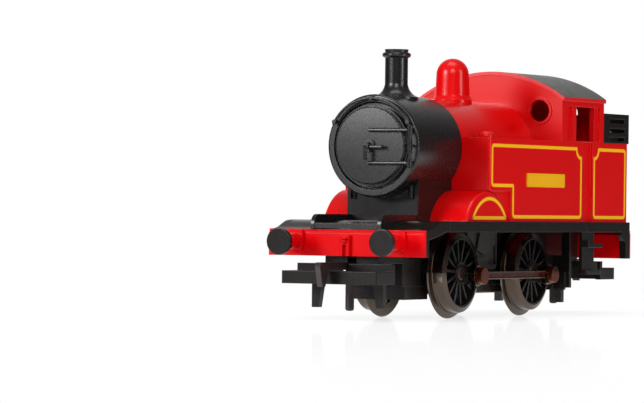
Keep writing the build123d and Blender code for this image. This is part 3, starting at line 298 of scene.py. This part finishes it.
# Grain that runs around an axle, and along a rod.
AROUND = (1.0, 0.05, 1.0)
ALONG = (0.04, 1.0, 1.0)

PLASTICS = {
    "red_plastic": dict(colour=RED, rough=(0.225, 0.245), gloss=0.32, mottle=0.04, peel=0.005),
    "black_plastic": dict(colour=BLACK, rough=(0.22, 0.25), gloss=0.30, mottle=0.15, peel=0.010),
    "smokebox_black": dict(colour=SOOT, rough=(0.27, 0.28), gloss=0.50, mottle=0.10, peel=0.006),
    "coal": dict(colour=COAL, rough=(0.25, 0.7), gloss=0.6, mottle=0.6, peel=0.6),
    "nameplate_yellow": dict(colour=PLATE_GOLD, rough=(0.30, 0.42), gloss=0.2, mottle=0.06),
    "white_plastic": dict(colour=IVORY, rough=(0.4, 0.5), mottle=0.06),
}
METALS = {
    "steel": dict(colour=STEEL, rough=(0.2, 0.34), grain=2500.0, direction=AROUND),
    "dark_steel": dict(colour=DARK_STEEL, rough=(0.28, 0.4), grain=1800.0, metallic=0.2),
    "bronze": dict(colour=BRONZE, rough=(0.25, 0.4), grain=2000.0),
}


def roof_finish():
    """Grey paint on the outside of the arch, red plastic on its rim and underside."""
    n = moulded("roof_grey", ROOF, (0.36, 0.46), gloss=0.5, mottle=0.15)
    upward = n.parts(n.add("ShaderNodeTexCoord").outputs["Normal"])[2]
    n.shade("Base Color", n.mix(n.rising(upward, 0.40, 0.46), rgba(RED), n.colour()))
    return n.material


finishes = {name: moulded(name, **look).material for name, look in PLASTICS.items()}
finishes.update({name: metal(name, **look).material for name, look in METALS.items()})
finishes["roof_grey"] = roof_finish()

# ---------------------------------------------------------------- finishes of single nodes

# A rod's flute and its painted highlight lines along the edges by their distance from its middle line, and the
# painted highlight ring by its distance inside the eye's rim, in millimetres. The straight part ends so many
# eye radii from the rod's end.
FLUTE_EDGE = (0.40, 0.48)
BAR_EDGE = (0.55, 0.68)
RIM_INNER = (0.24, 0.16)
RIM_OUTER = (0.06, 0.02)
FLUTE_END = (2.1, 2.0)
BAR_END = (2.0, 1.9)

PIN_COLLAR_FADE = 0.1
# The casting is darker below this height, and carries painted shade in its pockets deeper than these depths
# inside its face, in millimetres.
DARK_BELOW = (11.6, 12.4)
SHADED_INSIDE = (0.45, 0.30)
POCKET_SHARE = 0.15


def rod_finish(name):
    """Red-brown flute along a dark rod, with painted highlights along its edges and around its eyes."""
    low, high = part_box(name)
    middle = (low + high) / 2
    reach = (high.x - low.x) / 2
    eye = (high.z - low.z) / 2
    n = metal(name + "_finish", ROD_BROWN, (0.20, 0.28), 2200.0, ALONG, 0.95)
    x, _, z = n.parts(n.place())
    along = n.distance(x, middle.x)
    above = n.distance(z, middle.z)
    outward = n.math("MAXIMUM", n.math("SUBTRACT", along, reach - eye), 0.0)
    radius = n.length(outward, above)

    def up_to(end):
        return n.falling(along, *(reach - share * eye for share in end))

    flute = n.math("MULTIPLY", n.falling(above, *(d * MM for d in FLUTE_EDGE)), up_to(FLUTE_END))
    bar = n.math("MULTIPLY", n.rising(above, *(d * MM for d in BAR_EDGE)), up_to(BAR_END))
    inner = n.rising(radius, *(eye - d * MM for d in RIM_INNER))
    outer = n.falling(radius, *(eye - d * MM for d in RIM_OUTER))
    # Painted highlights: bright lines along the rod's top and bottom edges and a bright ring inside each eye's
    # rim.
    wear_and_highlight = n.math("MAXIMUM", n.math("MULTIPLY", inner, outer), bar)
    body = n.mix(flute, rgba(ROD_DARK), n.colour())
    n.shade("Base Color", n.mix(wear_and_highlight, body, rgba(ROD_PAINTED_HIGHLIGHT)))
    return n.material


def pin_finish(name):
    """Dark collar against the wheel and a red-brown head outside the rod."""
    rod_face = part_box("left_coupling_rod")[1].y
    n = metal(name + "_finish", PIN_BROWN, (0.22, 0.32), 1500.0, metallic=0.95)
    y = n.parts(n.place())[1]
    outside = n.rising(n.math("ABSOLUTE", y), rod_face, rod_face + PIN_COLLAR_FADE * MM)
    n.shade("Base Color", n.mix(outside, rgba(PIN_DARK), n.colour()))
    return n.material


def casting_finish():
    """Bare grey side plates with webs, with painted shade on the recessed faces of their pockets, and darker
    towards the bottom.
    """
    n = metal("casting", CASTING_GREY, (0.5, 0.7), 1400.0, metallic=0.3)
    _, y, z = n.parts(n.place())
    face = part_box("ballast_weights")[1].y
    high_up = n.rising(z, *(height * MM for height in DARK_BELOW))
    depths = (face - depth * MM for depth in SHADED_INSIDE)
    outer = n.spread(n.math("ABSOLUTE", y), POCKET_SHARE, 1.0, *depths)
    # Painted shade on faces sunk into the pockets; the same dark colour below the given height.
    grey_share = n.math("MULTIPLY", high_up, outer)
    n.shade("Base Color", n.mix(grey_share, rgba(CASTING_DARK), n.colour()))
    return n.material


def centre_of(name):
    low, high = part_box(name)
    return (low + high) / 2


axle_centre = {end: centre_of(f"{end}_axle") for end in ("front", "rear")}
own_finish = {"ballast_weights": casting_finish(), "saddle": finishes["black_plastic"]}
for name in ("left_coupling_rod", "right_coupling_rod"):
    own_finish[name] = rod_finish(name)
beam_red = moulded("beam_red", BEAM_RED, (0.22, 0.26), gloss=0.14, mottle=0.04, peel=0.02).material
for name in ("front_buffer_beam", "rear_buffer_beam", "buffer_shanks", "drawhooks"):
    own_finish[name] = beam_red
for end, centre in axle_centre.items():
    axle = f"{end}_axle"
    own_finish[f"{end}_crankpins"] = pin_finish(f"{end}_crankpins")
    own_finish[axle] = metal(axle + "_finish", AXLE_STEEL, (0.24, 0.4), 1500.0, metallic=0.8).material
    tyre = turned(f"tyre_{end}", TYRE_BROWN, (0.19, 0.22), centre.x, centre.z)
    for label in SIDES:
        own_finish[f"{end}_{label}_tyre"] = tyre

for name, node in nodes.items():
    node.data.materials.clear()
    node.data.materials.append(own_finish[name] if name in own_finish else finishes[slot_of[name]])


def new_piece(name, bm, material, body):
    """Turn a finished mesh into a piece that rides on a body."""
    mesh = bpy.data.meshes.new(name)
    bmesh.ops.recalc_face_normals(bm, faces=bm.faces)
    bm.to_mesh(mesh)
    bm.free()
    piece = bpy.data.objects.new(name, mesh)
    bpy.context.scene.collection.objects.link(piece)
    mesh.materials.append(material)
    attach(piece, body)


# ---------------------------------------------------------------- printed lining

LINE_WIDTH = 0.68 * MM
LINE_PROUD = 0.03 * MM
LINE_SUNK = 0.01 * MM
LINE_CORNER_R = 0.75 * MM
MITRE_LIMIT = 0.5

# The panels' corners in millimetres, with a corner's own radius where it isn't LINE_CORNER_R.
TOP_LINE = 35.42
BASE_LINE = 20.9
TANK_FRONT = 17.87
TANK_REAR = -24.6
TANK_STEP_X = 8.1
TANK_STEP_Z = 27.28
TANK_STEP_R = 0.3
TANK_SCOOP = (2.3, 2.0)
BUNKER_FRONT = -31.25
BUNKER_REAR = -47.05
BUNKER_SCOOP = (-2.2, 2.0)
SPLASHER_LINE_R = 8.85
SPLASHER_LINE_BASE = 20.62
SPLASHER_LINE_END_R = 0.35
ARCH_BEHIND_AXLE = 0.5
ARCH_CENTRE_Z = 15.7
ARCH_STEPS = 32


def rounded(corners, radius, steps=5):
    """A closed outline with each corner replaced by a small curve; a corner's own radius may follow it."""
    made = []
    count = len(corners)
    for i, (x, z, *own) in enumerate(corners):
        r = own[0] if own else radius
        here = Vector((x, z))
        if r == 0:
            made.append(here)
            continue
        before = Vector(corners[i - 1][:2])
        after = Vector(corners[(i + 1) % count][:2])
        start = here + (before - here).normalized() * r
        end = here + (after - here).normalized() * r
        for k in range(steps + 1):
            t = k / steps
            made.append(start * (1 - t) ** 2 + here * 2 * t * (1 - t) + end * t**2)
    return made


def ribbon(name, outline, face, side, material):
    """A printed line of even width along a closed outline on an upright side face."""
    bm = bmesh.new()
    count = len(outline)
    sunk, proud = face - LINE_SUNK, face + LINE_PROUD
    rings = []
    for i, here in enumerate(outline):
        inward = (here - outline[i - 1]).normalized()
        onward = (outline[(i + 1) % count] - here).normalized()
        across = Vector((-(inward.y + onward.y), inward.x + onward.x)).normalized()
        stretch = 1.0 / max(MITRE_LIMIT, across.dot(Vector((-onward.y, onward.x))))
        first, second = (here + across * (s * LINE_WIDTH / 2 * stretch) for s in (-1, 1))
        section = ((first, sunk), (first, proud), (second, proud), (second, sunk))
        rings.append([bm.verts.new((edge.x, side * y, edge.y)) for edge, y in section])
    for i, ring in enumerate(rings):
        after = rings[(i + 1) % count]
        for k in range(4):
            bm.faces.new((ring[k], ring[(k + 1) % 4], after[(k + 1) % 4], after[k]))
    new_piece(name, bm, material, "chassis")


def scoop(centre, across, down, steps=8):
    """The inward-curved corner of a lining panel, from its top edge to its upright edge."""
    made = []
    for k in range(steps + 1):
        angle = math.pi / 2 * k / steps
        made.append((centre[0] + across * math.cos(angle), centre[1] - down * math.sin(angle), 0))
    return made


def splasher_arch():
    """The lining around a splasher's face: an arch about the front axle, closed by a straight base."""
    x = axle_centre["front"].x / MM - ARCH_BEHIND_AXLE
    first = math.asin((SPLASHER_LINE_BASE - ARCH_CENTRE_Z) / SPLASHER_LINE_R)
    arch = []
    for k in range(ARCH_STEPS + 1):
        angle = first + (math.pi - 2 * first) * k / ARCH_STEPS
        own = SPLASHER_LINE_END_R if k in (0, ARCH_STEPS) else 0
        across, up = SPLASHER_LINE_R * math.cos(angle), SPLASHER_LINE_R * math.sin(angle)
        arch.append((x + across, ARCH_CENTRE_Z + up, own))
    return arch


def lining():
    """The yellow lines on tanks, bunker and splashers, on both sides."""
    ink = moulded("lining_ink", YELLOW, (0.34, 0.46), gloss=0.2, mottle=0.05, edge=INK_EDGE).material
    body_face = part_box("body_shell")[1].y
    splasher_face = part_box("splashers")[1].y
    tank = [
        (TANK_FRONT, TOP_LINE),
        *scoop((TANK_REAR, TOP_LINE), *TANK_SCOOP),
        (TANK_REAR, BASE_LINE),
        (TANK_STEP_X, BASE_LINE),
        (TANK_STEP_X, TANK_STEP_Z, TANK_STEP_R),
        (TANK_FRONT, TANK_STEP_Z),
    ]
    bunker = [
        (BUNKER_REAR, TOP_LINE),
        *scoop((BUNKER_FRONT, TOP_LINE), *BUNKER_SCOOP),
        (BUNKER_FRONT, BASE_LINE),
        (BUNKER_REAR, BASE_LINE),
    ]
    panels = {
        "tank_lining": (tank, body_face),
        "bunker_lining": (bunker, body_face),
        "splasher_lining": (splasher_arch(), splasher_face),
    }
    for label, side in SIDES.items():
        for title, (corners, face) in panels.items():
            scaled_corners = [tuple(v * MM for v in corner) for corner in corners]
            ribbon(f"{label}_{title}", rounded(scaled_corners, LINE_CORNER_R), face, side, ink)


lining()

# ---------------------------------------------------------------- coal

COAL_SEED = 7
COAL_COLUMNS, COAL_ROWS = 9, 25
COAL_MARGIN = 1.3 * MM
COAL_BED_SHARE = 0.72
COAL_SHUFFLE = 0.3
COAL_SUNK = (0.4, 1.4)
LUMP_RADIUS = (0.75, 1.15)
LUMP_SHAPE = (1.15, 0.95, 0.8)
LUMP_CUTS = 6
LUMP_CUT_AT = 0.72
LUMP_ROUGHNESS = 0.22
LUMP_WAVES = 1.7
LUMP_TURN = 6.28
NOISE_REACH = 50


def random_way():
    return Vector([random.uniform(-1, 1) for _ in range(3)]).normalized()


def lump(bm, centre, size):
    """One broken lump: a low sphere pushed about by noise and cut flat in places."""
    made = bmesh.ops.create_icosphere(bm, subdivisions=2, radius=1.0)["verts"]
    seed = Vector([random.uniform(-NOISE_REACH, NOISE_REACH) for _ in range(3)])
    angle = random.uniform(0, LUMP_TURN)
    turn = Matrix.Rotation(angle, 3, random_way())
    cuts = [random_way() for _ in range(LUMP_CUTS)]
    for v in made:
        p = v.co * (1.0 + LUMP_ROUGHNESS * noise.noise(v.co * LUMP_WAVES + seed))
        for cut in cuts:
            over = p.dot(cut) - LUMP_CUT_AT
            if over > 0:
                p = p - cut * over
        p = turn @ Vector([a * b for a, b in zip(p, LUMP_SHAPE)])
        v.co = centre + p * size


def coal_heap():
    """A heap of separate lumps in the bunker, over a plain bed."""
    low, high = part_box("coal_load")
    bed_top = low.z + COAL_BED_SHARE * (high.z - low.z)
    bm = bmesh.new()

    def along(axis, step, count):
        first, last = low[axis] + COAL_MARGIN, high[axis] - COAL_MARGIN
        share = (step + random.uniform(-COAL_SHUFFLE, COAL_SHUFFLE)) / (count - 1)
        return min(max(first + (last - first) * share, first), last)

    for i in range(COAL_COLUMNS):
        for j in range(COAL_ROWS):
            x = along(0, i, COAL_COLUMNS)
            y = along(1, j, COAL_ROWS)
            z = bed_top - random.uniform(*COAL_SUNK) * MM
            lump(bm, Vector((x, y, z)), random.uniform(*LUMP_RADIUS) * MM)
    new_piece("coal_heap", bm, finishes["coal"], "chassis")


random.seed(COAL_SEED)
coal_heap()

# ---------------------------------------------------------------- valance seams

SEAM_HALF_WIDTH = 0.07
SEAM_SUNK = 0.05
SEAM_PROUD = 0.012
SEAM_LINES = (((38.0, 17.9), (38.05, 19.8)), ((-24.7, 19.8), (-26.8, 17.85)))


def seams():
    """Two fine joints in the footplate's side, one upright at the front and one slanted by the steps."""
    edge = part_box("footplate")[1].y
    half = SEAM_HALF_WIDTH
    bm = bmesh.new()
    for side in SIDES.values():
        sunk = side * (edge - SEAM_SUNK * MM)
        proud = side * (edge + SEAM_PROUD * MM)
        for (x0, z0), (x1, z1) in SEAM_LINES:
            corners = ((x0 - half, z0), (x0 + half, z0), (x1 + half, z1), (x1 - half, z1))
            inner = [bm.verts.new((x * MM, sunk, z * MM)) for x, z in corners]
            outer = [bm.verts.new((x * MM, proud, z * MM)) for x, z in corners]
            bm.faces.new(outer)
            bm.faces.new(inner[::-1])
            for k in range(4):
                bm.faces.new((inner[k], inner[(k + 1) % 4], outer[(k + 1) % 4], outer[k]))
    new_piece("valance_seams", bm, finishes["coal"], "chassis")


seams()

# ---------------------------------------------------------------- floor

WHITE = (1.0, 1.0, 1.0, 1.0)
FLOOR_GREY = (0.26, 0.26, 0.26, 1.0)
FLOOR_GLOW = 0.70
FLOOR_SHEEN = 0.16
FLOOR_ROUGHNESS = 0.06
FLOOR_RADIUS = 0.7
FLOOR_SOLID = 0.10
FLOOR_CLEAR = 0.42
FLOOR_GAP = 0.00002


def stage_floor():
    """The pale floor: matt, faintly glossy, and melting into the white backdrop away from the model."""
    material = bpy.data.materials.new("floor")
    material.use_nodes = True
    material.node_tree.nodes.clear()
    n = Tree(material.node_tree)
    matt = n.add("ShaderNodeBsdfDiffuse", {"Color": FLOOR_GREY}).outputs[0]
    sheen = n.add("ShaderNodeBsdfGlossy", {"Color": WHITE, "Roughness": FLOOR_ROUGHNESS}).outputs[0]
    surface = n.add("ShaderNodeMixShader", {0: FLOOR_SHEEN, 1: matt, 2: sheen}).outputs[0]
    glow = n.add("ShaderNodeEmission", {"Color": WHITE, "Strength": FLOOR_GLOW}).outputs[0]
    lit = n.add("ShaderNodeAddShader", {0: surface, 1: glow}).outputs[0]
    clear = n.add("ShaderNodeBsdfTransparent").outputs[0]
    away = n.add("ShaderNodeVectorMath", {0: n.place()}, operation="LENGTH").outputs["Value"]
    limits = {"Value": away, "From Min": FLOOR_SOLID, "From Max": FLOOR_CLEAR, "To Min": 0.0, "To Max": 1.0}
    fade = n.add("ShaderNodeMapRange", limits, interpolation_type="SMOOTHSTEP").outputs["Result"]
    whole = n.add("ShaderNodeMixShader", {0: fade, 1: lit, 2: clear}).outputs[0]
    n.add("ShaderNodeOutputMaterial", {"Surface": whole})
    bm = bmesh.new()
    bmesh.ops.create_circle(bm, cap_ends=True, segments=96, radius=FLOOR_RADIUS)
    mesh = bpy.data.meshes.new("floor")
    bm.to_mesh(mesh)
    bm.free()
    floor = bpy.data.objects.new("floor", mesh)
    floor.location.z = cad_box[0].z - FLOOR_GAP
    bpy.context.scene.collection.objects.link(floor)
    mesh.materials.append(material)


stage_floor()

# ---------------------------------------------------------------- light and world

# Each light: place from the model's middle, width and height, and power in watts.
LIGHTS = {
    "key": ((0.64, 0.34, 0.40), (0.30, 0.30), 2.2),
    "side_strip": ((0.02, 0.70, 0.10), (0.10, 0.55), 1.8),
    "front_strip": ((0.66, -0.20, 0.08), (0.05, 0.45), 0.30),
    "front_key": ((0.70, -0.38, 0.25), (0.26, 0.26), 4.2),
    "top": ((0.10, 0.0, 0.75), (0.5, 0.4), 2.0),
}
ROOM_GLOW = 0.02
CEILING_GLOW = 0.25
CEILING_RISE = (0.25, 0.9)
BACKDROP_WAY = (-0.877, -0.48, 0.05)
BACKDROP_GLOW = 0.95
BACKDROP_TIGHTNESS = 7.0


def softbox(name, at, size, watts):
    """A rectangular studio light aimed at the middle of the model."""
    data = bpy.data.lights.new(name, "AREA")
    data.shape = "RECTANGLE"
    data.size, data.size_y = size
    data.energy = watts
    lamp = bpy.data.objects.new(name, data)
    centre = (cad_box[0] + cad_box[1]) / 2
    lamp.location = centre + Vector(at)
    aim = (centre - lamp.location).normalized()
    lamp.rotation_mode = "QUATERNION"
    lamp.rotation_quaternion = aim.to_track_quat("-Z", "Y")
    bpy.context.scene.collection.objects.link(lamp)


def pale_world():
    """White to the eye; as light, a pale backdrop behind the model and a pale ceiling over a dark room."""
    world = bpy.data.worlds.new("world")
    bpy.context.scene.world = world
    world.use_nodes = True
    world.node_tree.nodes.clear()
    n = Tree(world.node_tree)
    way = n.add("ShaderNodeTexCoord").outputs["Generated"]
    ceiling = n.spread(n.parts(way)[2], 0.0, CEILING_GLOW, *CEILING_RISE)
    toward = n.add("ShaderNodeVectorMath", {0: way, 1: BACKDROP_WAY}, operation="DOT_PRODUCT").outputs["Value"]
    lobe = n.math("POWER", n.math("MAXIMUM", toward, 0.0), BACKDROP_TIGHTNESS)
    pale = n.math("ADD", ceiling, n.math("MULTIPLY", lobe, BACKDROP_GLOW))
    light = n.math("ADD", pale, ROOM_GLOW)
    seen = n.add("ShaderNodeLightPath").outputs["Is Camera Ray"]
    strength = n.add("ShaderNodeMix", {0: seen, 2: light, 3: 1.0}).outputs[0]
    back = n.add("ShaderNodeBackground", {"Color": WHITE, "Strength": strength}).outputs[0]
    n.add("ShaderNodeOutputWorld", {0: back})
    bpy.context.scene.view_settings.view_transform = "Standard"


for name, (at, size, watts) in LIGHTS.items():
    softbox(name, at, size, watts)
pale_world()
